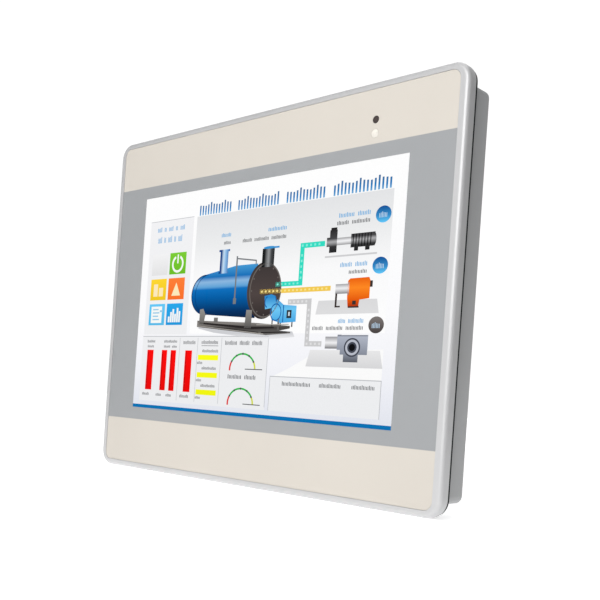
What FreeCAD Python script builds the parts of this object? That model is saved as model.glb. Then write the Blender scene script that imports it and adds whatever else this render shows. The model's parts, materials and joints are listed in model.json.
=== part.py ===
"""Flush-mounted operator touch panel, 10-inch class, for a 260 x 202 mm panel cut-out.

Origin: middle of the cut-out, on the front surface of the panel it is mounted in.
+X is to the right seen from the front, +Y goes into the cabinet, +Z is up. Millimetres.
"""
import FreeCAD, Part
import Sketcher
import math
import os
import re

doc = FreeCAD.newDocument("touch_panel")
sheet = doc.addObject("Spreadsheet::Sheet", "Sizes")

# ---------------------------------------------------------------- driving dimensions (mm)
SIZES = dict(
    # front bezel
    bezel_wide=271, bezel_tall=213, bezel_deep=5.7, bezel_corner=9.5, bezel_edge=2.2,
    # printed front film in its recess
    film_wide=261, film_tall=205.4, film_corner=4.6, film_thick=0.45, film_sink=0.2, film_gap=0.15,
    # screen, touch glass and the window they look through
    screen_wide=208.5, screen_tall=134.4, window_margin=3, touch_margin=9, touch_thick=1.8,
    glass_corner=1, lip_thick=3.05, fit_gap=0.2,
    # display module
    seal_thick=0.5, seal_corner=2, lcd_side=11.5, lcd_top=9.3, lcd_deep=6, lcd_sheet=0.5, lcd_bend=0.5,
    cell_thick=1.4,
    # sealing gasket
    gasket_thick=2, gasket_inset=0.5, gasket_clear=0.5,
    # rear housing
    housing_inset=5.9, housing_wall=2.2, housing_deep=20.6, housing_corner=4, back_edge=1.8, boss_in=8.6,
    boss_round=4, screw_hole=1.6, sink_round=3.2, sink_deep=14, slot_in=17.6, slot_wide=12,
    slot_tall=4.6, slot_back=9,
    # connector bay at the bottom of the housing
    past=1, bay_wide=190, bay_gap=0.5, bay_wall=2.2, bay_top=62, opening_top=80,
    # rear cover
    cover_side=103, cover_top=88, cover_rise=9.8, cover_sheet=1.2, flange=8, cover_corner=5,
    cover_bend=1.8, vent_wide=2.4, vent_tall=20, vent_pitch=6.4, vent_high=44, vent_low=10,
    # chassis plate and main board
    chassis_side=124, chassis_low=61, chassis_high=84, chassis_thick=1.2, pillar_x=120.5, pillar_low=52,
    pillar_high=76, pillar_round=2.8, standoff=2.9, standoff_round=2.6, board_side=100, board_low=60,
    board_high=78, board_thick=1.6, stand_x=94, stand_low=34, stand_high=72,
    # fasteners (M3)
    thread=1.25, head_round=2.8, head_tall=2, socket_round=1.5, socket_deep=1.1, thread_bite=2.4,
    thread_end=1, cover_screw_low=50, cover_screw_step=67, cover_boss_round=3, cover_boss_tall=6,
    # indicators
    lamp_x=81.8, lamp_z=87.1, lamp_round=1.9, sensor_z=80.1, sensor_round=2.2, lens_gap=0.1,
    lens_back=0.3, led_board_wide=16, led_board_low=78.3, led_board_tall=14, led_board_thick=1,
    led_post=1.3, led_post_z=90.4, led_post_x=6.2, led_chip=1.6, led_chip_tall=0.7,
    # sockets along the port plate
    port_sheet=1.2, port_gap=0.25, plate_step=0.2, cover_gap=0.2, power_x=-79, pole_pitch=5.08,
    block_side=1, block_stand=9.6, block_drop=14, block_up=6, wire_deep=9, screw_well=2.15,
    screw_head=1.9, head_thick=1.6, screw_shank=1.3, screw_long=6.2, shank_gap=0.15, shoulder=0.8,
    slot_cut=0.5, slot_cut_deep=0.9, cage_wide=3.9, cage_tall=4.6, cage_deep=4.6, cage_wall=0.6,
    cage_floor=1, cage_clear=0.3, cage_travel=1.5, thread_gap=0.05, serial_a_x=-47, serial_b_x=-9,
    serial_wide=31, serial_deep=12.5, serial_long=12, shell_wide=17, shell_deep=8.4, shell_drop=6,
    shell_sheet=0.5, shell_bend=2, shell_groove=0.6, contact_sink=3, contact_round=0.5,
    contact_pitch=2.74, contact_row=2.84, jack_in=12.5, jack_round=2.7, jack_long=5, jack_stem=1.7,
    jack_thread=1.25, jack_grip=4, jack_floor=1, lan_x=22, lan_wide=16, lan_deep=13.6, lan_long=21,
    lan_drop=1, lan_hole=11.8, lan_hole_deep=8.2, lan_cavity=13, lan_hole_off=0.6, latch_deep=1.2,
    latch_long=6, wire_pitch=1.1, wire_half=0.2, wire_tall=0.8, wire_start=3, usb_x=43, usb_stand=1,
    usb_wide=14.5, usb_deep=7, usb_long=17, usb_drop=1.4, usb_sheet=0.9, usb_tongue=1.8, usb_b_x=61,
    usb_b_wide=12, usb_b_deep=11, usb_b_long=16, usb_b_sheet=1.7, usb_b_tongue=3.2, usb_b_cavity=9,
    tongue_in=1, reset_x=74, reset_stand=5, reset_round=2, reset_flange=2.8, reset_flange_tall=1,
    reset_out=1.6, reset_gap=0.25, reset_travel=1, switch_half=4, switch_tall=6, plunger_round=1.1,
    plunger_in=1.5, dip_x=86, dip_pitch=2.54, dip_stand=0.6, dip_deep=9.4, dip_up=4, dip_drop=1,
    dip_slot=1.5, dip_slot_long=4.8, dip_slot_deep=1.6, lever_wide=1.1, lever_long=1.8, lever_out=0.9,
    lever_gap=0.3,
    # what stands on the main board
    chip_z=20, chip_half=15, chip_tall=2.4, pad_tall=0.8, sink_half=22, sink_base=2.4, fin_tall=9,
    fin_thick=1.4, fin_pitch=5.4, cell_x=58, cell_z=40, coin_round=10, coin_tall=3.2, holder_wall=2,
    holder_floor=0.8, coin_gap=0.15, clip_half=3, clip_sheet=0.4, can_x=-52, can_z=42, can_half=17,
    can_tall=4, cap_x=-78, cap_step=14, cap_z=-30, cap_round=5, cap_tall=12, header_wide=5,
    header_tall=1.6, cable_thick=0.3, lcd_tail_in=9.75, lcd_cable_x=106, lcd_cable_low=-30,
    lcd_cable_high=-5, touch_cable_x=118, touch_cable_low=26, touch_cable_high=40, cable_slot=1,
    touch_tail_y=0.9, lamp_cable_low=78, lamp_cable_high=84, lamp_cable_z=86, label_wide=60,
    label_tall=24, label_thick=0.2, label_x=60, label_z=14, earth_x=-66.6, earth_in=4, stud_round=2,
    stud_gap=0.1, stud_long=9, stud_head=1, nut_round=4, nut_tall=2.4,
)
for row, (alias, number) in enumerate(SIZES.items(), start=1):
    sheet.set(f"A{row}", alias)
    sheet.set(f"B{row}", str(number))
    sheet.setAlias(f"B{row}", alias)
doc.recompute()

WORDS = re.compile(r"\b(" + "|".join(sorted(SIZES, key=len, reverse=True)) + r")\b")


def sized(text):
    """Expression text in which each size's word points at its cell."""
    return WORDS.sub(r"Sizes.\1", str(text))


def number(text):
    """Present value of an expression."""
    return float(sheet.evalExpression(sized(text)))


# ---------------------------------------------------------------- levels along Y, front to back
FRONT = "(-(bezel_deep + gasket_thick))"
FILM_FACE = f"({FRONT} + film_sink)"
FILM_BACK = f"({FILM_FACE} + film_thick)"
GLASS_BACK = f"({FILM_BACK} + touch_thick)"
LIP_BACK = f"({GLASS_BACK} + lip_thick)"
BEZEL_BACK = "(-gasket_thick)"
LCD_FRONT = f"({LIP_BACK} + seal_thick)"
CELL_FRONT = f"({LCD_FRONT} + lcd_sheet)"
CELL_BACK = f"({CELL_FRONT} + cell_thick)"
LCD_BACK = f"({LCD_FRONT} + lcd_deep)"
CHASSIS_BACK = f"({LCD_BACK} + chassis_thick)"
BOARD_FRONT = f"({CHASSIS_BACK} + standoff)"
BOARD_BACK = f"({BOARD_FRONT} + board_thick)"
HOUSING_BACK = "(housing_deep)"
HOUSING_INSIDE = "(housing_deep - housing_wall)"
COVER_BACK = "(housing_deep + cover_rise)"
COVER_INSIDE = "(housing_deep + cover_rise - cover_sheet)"
# ---------------------------------------------------------------- other shared sizes
HOUSING_WIDE = "(bezel_wide - 2 * housing_inset)"
HOUSING_TALL = "(bezel_tall - 2 * housing_inset)"
TOUCH_WIDE = "(screen_wide + 2 * touch_margin)"
TOUCH_TALL = "(screen_tall + 2 * touch_margin)"
WINDOW_WIDE = "(screen_wide + 2 * window_margin)"
WINDOW_TALL = "(screen_tall + 2 * window_margin)"
LCD_WIDE = "(screen_wide + 2 * lcd_side)"
LCD_TALL = "(screen_tall + 2 * lcd_top)"
LCD_TAIL_X = f"(lcd_tail_in - {LCD_WIDE} / 2)"
BOSS_X = f"({HOUSING_WIDE} / 2 - boss_in)"
BOSS_Z = f"({HOUSING_TALL} / 2 - boss_in)"
PLATE_LOW = "(-(bay_top + port_sheet))"
PLATE_HIGH = "(-bay_top)"
COVER_SCREW_X = "(cover_side + flange / 2)"
SERIAL_Y = f"({BOARD_BACK} + serial_deep / 2)"
LAN_Y = f"({BOARD_BACK} + lan_deep / 2)"
USB_Y = f"({BOARD_BACK} + usb_deep / 2 + usb_stand)"
USB_B_Y = f"({BOARD_BACK} + usb_b_deep / 2)"
BAY_FRONT = f"({LCD_BACK} + bay_gap + bay_wall)"
BLOCK_BACK = f"({BOARD_BACK} + block_stand)"
DIP_FRONT = f"({BOARD_BACK} + dip_stand)"
DIP_BACK = f"({DIP_FRONT} + dip_deep)"
DIP_Y = f"({DIP_FRONT} + dip_deep / 2)"
RESET_Y = f"({BOARD_BACK} + reset_stand)"
EARTH_Y = f"({COVER_INSIDE} - earth_in)"

nodes = []


def node(piece, name):
    """Gives a finished sub-part its own name and lists it for export."""
    piece.Label = name
    nodes.append(piece)
    return piece


# ---------------------------------------------------------------- primitives bound to the sheet
def block(name, x_span, y_span, z_span):
    piece = doc.addObject("Part::Box", name)
    spans = (x_span, y_span, z_span)
    for size, axis, (low, high) in zip(("Length", "Width", "Height"), "xyz", spans):
        piece.setExpression(size, sized(f"({high}) - ({low})"))
        piece.setExpression(f"Placement.Base.{axis}", sized(low))
    return piece


def around(middle, half):
    """Span centred on a place."""
    return (f"({middle}) - ({half})", f"({middle}) + ({half})")


def stand(piece, axis, length, x, y, z):
    """Turns a round or hexagonal piece onto an axis and places its foot."""
    if axis == "y":
        piece.Placement = FreeCAD.Placement(FreeCAD.Vector(),
                                            FreeCAD.Rotation(FreeCAD.Vector(1, 0, 0), -90))
    piece.setExpression("Height", sized(length))
    for letter, place in zip("xyz", (x, y, z)):
        piece.setExpression(f"Placement.Base.{letter}", sized(place))
    return piece


def rod(name, radius, span, x=None, y=None, z=None):
    """Cylinder along Y, or along Z when no z is given."""
    piece = doc.addObject("Part::Cylinder", name)
    piece.setExpression("Radius", sized(radius))
    length = f"({span[1]}) - ({span[0]})"
    if z is None:
        return stand(piece, "z", length, x, y, span[0])
    return stand(piece, "y", length, x, span[0], z)


def hexagon(name, radius, span, x=None, y=None, z=None):
    """Six-sided prism along Y, or along Z when no z is given."""
    piece = doc.addObject("Part::Prism", name)
    piece.Polygon = 6
    piece.setExpression("Circumradius", sized(radius))
    length = f"({span[1]}) - ({span[0]})"
    if z is None:
        return stand(piece, "z", length, x, y, span[0])
    return stand(piece, "y", length, x, span[0], z)


def joined(name, pieces):
    if len(pieces) == 1:
        return pieces[0]
    whole = doc.addObject("Part::MultiFuse", name)
    whole.Shapes = pieces
    whole.Refine = True
    return whole


def group(name, pieces):
    whole = doc.addObject("Part::Compound", name)
    whole.Links = pieces
    return whole


def cut(name, base, tools):
    whole = doc.addObject("Part::Cut", name)
    whole.Base = base
    whole.Tool = tools[0] if len(tools) == 1 else group(name + "_tools", tools)
    return whole


# ---------------------------------------------------------------- sketched bodies
def new_body(name):
    return doc.addObject("PartDesign::Body", name)


def rounded_sketch(body, name, wide, tall, radius, at_y, x_mid="0", z_mid="0"):
    """Rounded rectangle facing the front, symmetric about its own middle."""
    sketch = body.newObject("Sketcher::SketchObject", name)
    plane = [item for item in body.Origin.OriginFeatures if item.Role == "XZ_Plane"][0]
    sketch.AttachmentSupport = [(plane, "")]
    sketch.MapMode = "FlatFace"
    sketch.setExpression("AttachmentOffset.Base.x", sized(x_mid))
    sketch.setExpression("AttachmentOffset.Base.y", sized(z_mid))
    sketch.setExpression("AttachmentOffset.Base.z", sized(f"-({at_y})"))
    half_x = number(wide) / 2
    half_z = number(tall) / 2
    bend = number(radius)
    corners = [(1, 1), (1, -1), (-1, -1), (-1, 1)]
    turn = FreeCAD.Vector
    ends = []
    for sx, sz in corners:
        along_x = turn(sx * (half_x - bend), sz * half_z, 0)
        along_z = turn(sx * half_x, sz * (half_z - bend), 0)
        ends.append((along_x, along_z) if sx == sz else (along_z, along_x))
    for index in range(4):
        sketch.addGeometry(Part.LineSegment(ends[index - 1][1], ends[index][0]), False)
    quarter = math.pi / 2
    for index, (sx, sz) in enumerate(corners):
        centre = turn(sx * (half_x - bend), sz * (half_z - bend), 0)
        circle = Part.Circle(centre, turn(0, 0, 1), bend)
        start = (0, 3, 2, 1)[index] * quarter
        sketch.addGeometry(Part.ArcOfCircle(circle, start, start + quarter), False)
    rule = Sketcher.Constraint
    for index in range(4):
        arc = 4 + index
        sketch.addConstraint(rule("Tangent", index, 2, arc, 2))
        sketch.addConstraint(rule("Tangent", arc, 1, (index + 1) % 4, 1))
        straight = "Horizontal" if index % 2 == 0 else "Vertical"
        sketch.addConstraint(rule(straight, index))
    for arc in (5, 6, 7):
        sketch.addConstraint(rule("Equal", 4, arc))
    sketch.addConstraint(rule("Symmetric", 0, 1, 2, 1, -1, 1))
    named = (("Radius", (4,), bend, radius), ("DistanceX", (3, 1, 1, 1), 2 * half_x, wide),
             ("DistanceY", (2, 1, 0, 1), 2 * half_z, tall))
    for kind, places, now, text in named:
        index = sketch.addConstraint(rule(kind, *places, now))
        sketch.setExpression(f"Constraints[{index}]", sized(text))
    return sketch


def pad(body, sketch, length):
    feature = body.newObject("PartDesign::Pad", sketch.Name + "_pad")
    feature.Profile = sketch
    feature.Reversed = True
    feature.setExpression("Length", sized(length))
    sketch.Visibility = False
    return feature


def pocket(body, sketch, length, forward=False):
    """Cuts towards the back, or towards the front."""
    feature = body.newObject("PartDesign::Pocket", sketch.Name + "_pocket")
    feature.Profile = sketch
    feature.Reversed = forward
    feature.setExpression("Length", sized(length))
    return feature


def round_face_edges(body, feature, at_y, radius):
    """Rounds every edge that lies in one plane across Y."""
    doc.recompute()
    level = number(at_y)
    names = []
    for index, edge in enumerate(feature.Shape.Edges, start=1):
        if all(abs(vertex.Y - level) < 1e-4 for vertex in edge.Vertexes):
            names.append(f"Edge{index}")
    fillet = body.newObject("PartDesign::Fillet", body.Name + "_round")
    fillet.Base = (feature, names)
    fillet.setExpression("Radius", sized(radius))
    return fillet


# ---------------------------------------------------------------- fasteners
def screw(name, x, z, seat, bite, shank="thread"):
    """Socket-head screw whose head stands behind its seat and whose shank points forward."""
    head = rod(name + "_head", "head_round", (seat, f"{seat} + head_tall"), x=x, z=z)
    body = rod(name + "_shank", shank, (f"{seat} - ({bite})", seat), x=x, z=z)
    recess = hexagon(name + "_socket", "socket_round",
                     (f"{seat} + head_tall - socket_deep", f"{seat} + head_tall"), x=x, z=z)
    return cut(name, joined(name + "_blank", [head, body]), [recess])


def four_corners(x, z_low, z_high):
    return [(f"({side}) * ({x})", place) for side in (-1, 1) for place in (z_low, z_high)]


BOSSES = four_corners(BOSS_X, f"(-{BOSS_Z})", BOSS_Z)
PILLARS = four_corners("pillar_x", "(-pillar_low)", "pillar_high")
STANDS = four_corners("stand_x", "(-stand_low)", "stand_high")
COVER_SCREWS = [(f"({side}) * {COVER_SCREW_X}", f"({step} * cover_screw_step - cover_screw_low)")
                for side in (-1, 1) for step in range(3)]


def rods(name, radius, span, places):
    return [rod(f"{name}_{index}", radius, span, x=x, z=z) for index, (x, z) in enumerate(places)]


# ---------------------------------------------------------------- front
def front_bezel():
    body = new_body("bezel_body")
    outline = rounded_sketch(body, "bezel_outline", "bezel_wide", "bezel_tall", "bezel_corner", FRONT)
    plate = pad(body, outline, "bezel_deep")
    round_face_edges(body, plate, FRONT, "bezel_edge")
    recess = rounded_sketch(body, "film_recess", "film_wide + 2 * film_gap", "film_tall + 2 * film_gap",
                            "film_corner + film_gap", FRONT)
    pocket(body, recess, f"{FILM_BACK} - {FRONT}")
    glass = rounded_sketch(body, "glass_recess", f"{TOUCH_WIDE} + 2 * fit_gap",
                           f"{TOUCH_TALL} + 2 * fit_gap", "glass_corner + fit_gap", FILM_BACK)
    pocket(body, glass, "touch_thick")
    window = rounded_sketch(body, "screen_window", WINDOW_WIDE, WINDOW_TALL, "glass_corner", GLASS_BACK)
    pocket(body, window, f"{BEZEL_BACK} - {GLASS_BACK}")
    rear = rounded_sketch(body, "housing_recess", f"{HOUSING_WIDE} + 2 * fit_gap",
                          f"{HOUSING_TALL} + 2 * fit_gap", "housing_corner + fit_gap", LIP_BACK)
    pocket(body, rear, f"{BEZEL_BACK} - {LIP_BACK}")
    pillars = rods("chassis_pillar", "pillar_round", (LIP_BACK, LCD_BACK), PILLARS)
    posts = rods("lamp_post", "led_post", (LIP_BACK, f"{LIP_BACK} + lens_back + led_chip_tall + lens_gap"),
                 [("lamp_x - led_post_x", "led_post_z"), ("lamp_x + led_post_x", "led_post_z")])
    solid = joined("bezel_solid", [body] + pillars + posts)
    holes = rods("pillar_thread", "thread", (f"{LIP_BACK} + thread_end", LCD_BACK), PILLARS)
    holes += rods("boss_thread", "thread", (f"{LIP_BACK} - thread_bite", LIP_BACK), BOSSES)
    holes.append(rod("lamp_hole", "lamp_round + lens_gap", (FILM_BACK, LIP_BACK), x="lamp_x", z="lamp_z"))
    holes.append(rod("sensor_hole", "sensor_round + lens_gap", (FILM_BACK, LIP_BACK),
                     x="lamp_x", z="sensor_z"))
    holes.append(block("touch_tail_slot", ("-(touch_cable_x + cable_slot)", f"-{TOUCH_WIDE} / 2"),
                       (FILM_BACK, LIP_BACK), ("touch_cable_low - cable_slot",
                                               "touch_cable_high + cable_slot")))
    node(cut("bezel_cut", solid, holes), "front_bezel")


def overlay_film():
    body = new_body("film_body")
    outline = rounded_sketch(body, "film_outline", "film_wide", "film_tall", "film_corner", FILM_FACE)
    pad(body, outline, "film_thick")
    holes = [rod("film_lamp", "lamp_round + lens_gap", (FILM_FACE, FILM_BACK), x="lamp_x", z="lamp_z"),
             rod("film_sensor", "sensor_round + lens_gap", (FILM_FACE, FILM_BACK), x="lamp_x",
                 z="sensor_z")]
    node(cut("film_cut", body, holes), "overlay_film")


def touch_glass():
    body = new_body("touch_body")
    outline = rounded_sketch(body, "touch_outline", TOUCH_WIDE, TOUCH_TALL, "glass_corner", FILM_BACK)
    pad(body, outline, "touch_thick")
    node(body, "touch_glass")


def panel_gasket():
    body = new_body("gasket_body")
    outline = rounded_sketch(body, "gasket_outline", "bezel_wide - 2 * gasket_inset",
                             "bezel_tall - 2 * gasket_inset", "bezel_corner - gasket_inset", BEZEL_BACK)
    pad(body, outline, "gasket_thick")
    hole = rounded_sketch(body, "gasket_hole", f"{HOUSING_WIDE} + 2 * gasket_clear",
                          f"{HOUSING_TALL} + 2 * gasket_clear", "housing_corner + gasket_clear", BEZEL_BACK)
    pocket(body, hole, "gasket_thick")
    node(body, "panel_gasket")


def indicators():
    back = f"{LIP_BACK} + lens_back"
    node(rod("lamp_lens", "lamp_round", (FILM_FACE, back), x="lamp_x", z="lamp_z"), "status_lens")
    node(rod("sensor_cover", "sensor_round", (FILM_FACE, back), x="lamp_x", z="sensor_z"), "sensor_lens")
    front = f"{LIP_BACK} + lens_back + led_chip_tall + lens_gap"
    board = block("led_board", around("lamp_x", "led_board_wide / 2"),
                  (front, f"{front} + led_board_thick"),
                  ("led_board_low", "led_board_low + led_board_tall"))
    chips = [block(f"led_chip_{index}", around("lamp_x", "led_chip / 2"),
                   (f"{front} - led_chip_tall", front),
                   around(place, "led_chip / 2")) for index, place in enumerate(("lamp_z", "sensor_z"))]
    node(joined("indicator_solid", [board] + chips), "indicator_board")


# ---------------------------------------------------------------- display module
def display_module():
    seal = new_body("seal_body")
    pad(seal, rounded_sketch(seal, "seal_outline", LCD_WIDE, LCD_TALL, "seal_corner", LIP_BACK),
        "seal_thick")
    pocket(seal, rounded_sketch(seal, "seal_hole", WINDOW_WIDE, WINDOW_TALL, "glass_corner", LIP_BACK),
           "seal_thick")
    node(seal, "lcd_seal")
    frame = new_body("lcd_frame_body")
    outline = rounded_sketch(frame, "frame_outline", LCD_WIDE, LCD_TALL, "lcd_bend + lcd_sheet", LCD_FRONT)
    pad(frame, outline, "lcd_deep")
    inside = rounded_sketch(frame, "frame_inside", f"{LCD_WIDE} - 2 * lcd_sheet",
                            f"{LCD_TALL} - 2 * lcd_sheet",
                            "lcd_bend", CELL_FRONT)
    pocket(frame, inside, f"{LCD_BACK} - {CELL_FRONT}")
    pocket(frame, rounded_sketch(frame, "frame_window", "screen_wide", "screen_tall", "lcd_bend",
                                 LCD_FRONT),
           "lcd_sheet")
    node(frame, "lcd_frame")
    half_x = f"({LCD_WIDE} / 2 - lcd_sheet - fit_gap)"
    half_z = f"({LCD_TALL} / 2 - lcd_sheet - fit_gap)"
    cell = block("cell_glass", around("0", half_x), (CELL_FRONT, CELL_BACK), around("0", half_z))
    node(cell, "lcd_cell")
    light = block("backlight", around("0", half_x), (CELL_BACK, LCD_BACK), around("0", half_z))
    node(light, "backlight_unit")


# ---------------------------------------------------------------- rear housing and cover
def rear_housing():
    body = new_body("housing_body")
    outline = rounded_sketch(body, "housing_outline", HOUSING_WIDE, HOUSING_TALL, "housing_corner",
                             LIP_BACK)
    tub = pad(body, outline, f"{HOUSING_BACK} - {LIP_BACK}")
    round_face_edges(body, tub, HOUSING_BACK, "back_edge")
    inside = rounded_sketch(body, "housing_inside", f"{HOUSING_WIDE} - 2 * housing_wall",
                            f"{HOUSING_TALL} - 2 * housing_wall", "housing_corner - housing_wall", LIP_BACK)
    pocket(body, inside, f"{HOUSING_INSIDE} - {LIP_BACK}")
    bay_low = f"-({HOUSING_TALL} / 2 - housing_wall)"
    bay = block("bay_walls", around("0", "bay_wide / 2 + bay_wall"),
                (f"{BAY_FRONT} - bay_wall", HOUSING_INSIDE), (bay_low, PLATE_HIGH))
    posts = rods("housing_boss", "boss_round", (LIP_BACK, HOUSING_INSIDE), BOSSES)
    posts += rods("cover_boss", "cover_boss_round", (f"{HOUSING_INSIDE} - cover_boss_tall", HOUSING_INSIDE),
                  COVER_SCREWS)
    solid = joined("housing_solid", [body, bay] + posts)
    holes = [block("bay_space", around("0", "bay_wide / 2"), (BAY_FRONT, f"{HOUSING_BACK} + past"),
                   (f"-({HOUSING_TALL} / 2 + past)", PLATE_HIGH)),
             block("rear_opening", around("0", "bay_wide / 2"), (HOUSING_INSIDE, f"{HOUSING_BACK} + past"),
                   (f"{PLATE_HIGH} - past", "opening_top"))]
    holes += rods("boss_hole", "screw_hole", (LIP_BACK, f"{HOUSING_BACK} - sink_deep"), BOSSES)
    holes += rods("boss_sink", "sink_round", (f"{HOUSING_BACK} - sink_deep", HOUSING_BACK), BOSSES)
    holes += rods("cover_thread", "thread", (f"{HOUSING_BACK} - cover_boss_tall", HOUSING_BACK),
                  COVER_SCREWS)
    slot_x = f"({HOUSING_WIDE} / 2 - slot_in)"
    for index, (x_side, z_side) in enumerate(((-1, -1), (-1, 1), (1, -1), (1, 1))):
        wall = f"({z_side}) * ({HOUSING_TALL} / 2 - housing_wall / 2)"
        holes.append(block(f"clamp_slot_{index}", around(f"({x_side}) * {slot_x}", "slot_wide / 2"),
                           ("slot_back", "slot_back + slot_tall"), around(wall, "housing_wall")))
    node(cut("housing_cut", solid, holes), "rear_housing")


def rear_cover():
    body = new_body("cover_body")
    low = "(bay_top + cover_corner * 2)"
    tall = f"(cover_top + {low})"
    middle = f"((cover_top - {low}) / 2)"
    flange = rounded_sketch(body, "cover_flange", "2 * (cover_side + flange)", f"{tall} + 2 * flange",
                            "cover_corner + flange", HOUSING_BACK, z_mid=middle)
    pad(body, flange, "cover_sheet")
    tray = rounded_sketch(body, "cover_tray", "2 * cover_side", tall, "cover_corner", HOUSING_BACK,
                          z_mid=middle)
    raised = pad(body, tray, "cover_rise")
    round_face_edges(body, raised, COVER_BACK, "cover_bend")
    inside = rounded_sketch(body, "cover_inside", "2 * (cover_side - cover_sheet)",
                            f"{tall} - 2 * cover_sheet",
                            "cover_corner - cover_sheet", HOUSING_BACK, z_mid=middle)
    pocket(body, inside, "cover_rise - cover_sheet")
    holes = [block("cover_trim", around("0", "cover_side + flange + past"),
                   (HOUSING_BACK, f"{COVER_BACK} + past"),
                   ("-(bay_top + 4 * cover_corner + flange)", PLATE_HIGH))]
    holes += rods("cover_hole", "screw_hole", (HOUSING_BACK, f"{HOUSING_BACK} + cover_sheet"), COVER_SCREWS)
    for row in (-1, 1):
        middle_z = "vent_high" if row > 0 else "(-vent_low - vent_tall)"
        for index in range(-6, 7):
            holes.append(block(f"vent_{row + 1}_{index + 6}",
                               around(f"({index}) * vent_pitch", "vent_wide / 2"),
                               (COVER_INSIDE, COVER_BACK), around(middle_z, "vent_tall / 2")))
    node(cut("cover_cut", body, holes), "rear_cover")
    label = block("cover_label", around("label_x", "label_wide / 2"),
                  (COVER_BACK, f"{COVER_BACK} + label_thick"),
                  around("label_z", "label_tall / 2"))
    node(label, "blank_label")


# ---------------------------------------------------------------- chassis and main board
def strap(name, across, span, points, back):
    """Flat cable of straight runs; its points give (place, y) along one axis."""
    pieces = []
    for index, (first, last) in enumerate(zip(points, points[1:])):
        lows, highs = (first, last) if number(first[0]) <= number(last[0]) else (last, first)
        y_low, y_high = (first, last) if number(first[1]) <= number(last[1]) else (last, first)
        run = (lows[0], f"{highs[0]} + cable_thick")
        rise = (y_low[1], f"{y_high[1]} + cable_thick")
        if index == len(points) - 2 and first[1] != last[1]:
            rise = (y_low[1], back)
        spans = (run, rise, span) if across == "z" else (span, rise, run)
        pieces.append(block(f"{name}_{index}", *spans))
    return joined(name + "_strap", pieces)


def chassis_and_board():
    plate = block("chassis_blank", around("0", "chassis_side"), (LCD_BACK, CHASSIS_BACK),
                  ("-chassis_low", "chassis_high"))
    holes = rods("chassis_hole", "screw_hole", (LCD_BACK, CHASSIS_BACK), PILLARS)
    holes += rods("stand_hole", "screw_hole", (LCD_BACK, CHASSIS_BACK), STANDS)
    holes.append(block("lcd_cable_slot", around(LCD_TAIL_X, "cable_slot"), (LCD_BACK, CHASSIS_BACK),
                       ("lcd_cable_low - cable_slot", "lcd_cable_high + cable_slot")))
    holes.append(block("touch_cable_slot", around("-touch_cable_x", "cable_slot"), (LCD_BACK, CHASSIS_BACK),
                       ("touch_cable_low - cable_slot", "touch_cable_high + cable_slot")))
    node(cut("chassis_cut", plate, holes), "chassis_plate")
    stands = []
    for index, (x, z) in enumerate(STANDS):
        post = hexagon(f"stand_post_{index}", "standoff_round", (CHASSIS_BACK, BOARD_FRONT), x=x, z=z)
        bore = rod(f"stand_bore_{index}", "thread", (CHASSIS_BACK, BOARD_FRONT), x=x, z=z)
        stands.append(cut(f"stand_{index}", post, [bore]))
    node(group("stands", stands), "board_standoffs")
    blank = block("board_blank", around("0", "board_side"), (BOARD_FRONT, BOARD_BACK),
                  ("-board_low", "board_high"))
    node(cut("board_cut", blank, rods("board_hole", "screw_hole", (BOARD_FRONT, BOARD_BACK), STANDS)),
         "main_board")
    node(group("board_screw_set",
               [screw(f"board_screw_{i}", x, z, BOARD_BACK, f"{BOARD_BACK} - {CHASSIS_BACK}")
                                   for i, (x, z) in enumerate(STANDS)]), "board_screws")
    node(group("chassis_screw_set",
               [screw(f"chassis_screw_{i}", x, z, CHASSIS_BACK, "chassis_thick + thread_bite")
                                     for i, (x, z) in enumerate(PILLARS)]), "chassis_screws")
    node(group("housing_screw_set",
               [screw(f"housing_screw_{i}", x, z, f"({HOUSING_BACK} - sink_deep)",
                      f"{HOUSING_BACK} - sink_deep - {LIP_BACK} + thread_bite - lens_gap")
                for i, (x, z) in enumerate(BOSSES)]), "housing_screws")
    node(group("cover_screw_set",
               [screw(f"cover_screw_{i}", x, z, f"({HOUSING_BACK} + cover_sheet)",
                      "cover_sheet + cover_boss_tall - lens_gap")
                for i, (x, z) in enumerate(COVER_SCREWS)]), "cover_screws")


def cables():
    top = f"({BOARD_BACK} + header_tall)"
    edge = "(-board_side)"
    headers = [block("lcd_header", (edge, f"{edge} + header_wide"), (BOARD_BACK, top),
                     ("lcd_cable_low", "lcd_cable_high")),
               block("touch_header", (edge, f"{edge} + header_wide"), (BOARD_BACK, top),
                     ("touch_cable_low", "touch_cable_high")),
               block("lamp_header", ("lamp_cable_low", "lamp_cable_high"), (BOARD_BACK, top),
                     ("board_high - header_wide", "board_high"))]
    node(group("header_set", headers), "cable_headers")
    behind_plate = f"({CHASSIS_BACK} + cable_thick)"
    inner_end = f"({edge} + header_wide - cable_thick)"
    lcd = strap("lcd_cable", "z", ("lcd_cable_low", "lcd_cable_high"),
                [(LCD_TAIL_X, LCD_BACK), (LCD_TAIL_X, behind_plate), ("(-lcd_cable_x)", behind_plate),
                 ("(-lcd_cable_x)", top), (inner_end, top)], top)
    node(lcd, "lcd_cable")
    tail_y = f"({FILM_BACK} + touch_tail_y)"
    touch = strap("touch_cable", "z", ("touch_cable_low", "touch_cable_high"),
                  [(f"(-{TOUCH_WIDE} / 2 - cable_thick)", tail_y), ("(-touch_cable_x)", tail_y),
                   ("(-touch_cable_x)", top), (inner_end, top)], top)
    node(touch, "touch_cable")
    start = f"({LIP_BACK} + lens_back + led_chip_tall + lens_gap + led_board_thick)"
    lamp = strap("lamp_cable", "x", ("lamp_cable_low", "lamp_cable_high"),
                 [("lamp_cable_z", start), ("lamp_cable_z", top), ("(board_high - header_wide)", top)], top)
    node(lamp, "indicator_cable")


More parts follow.
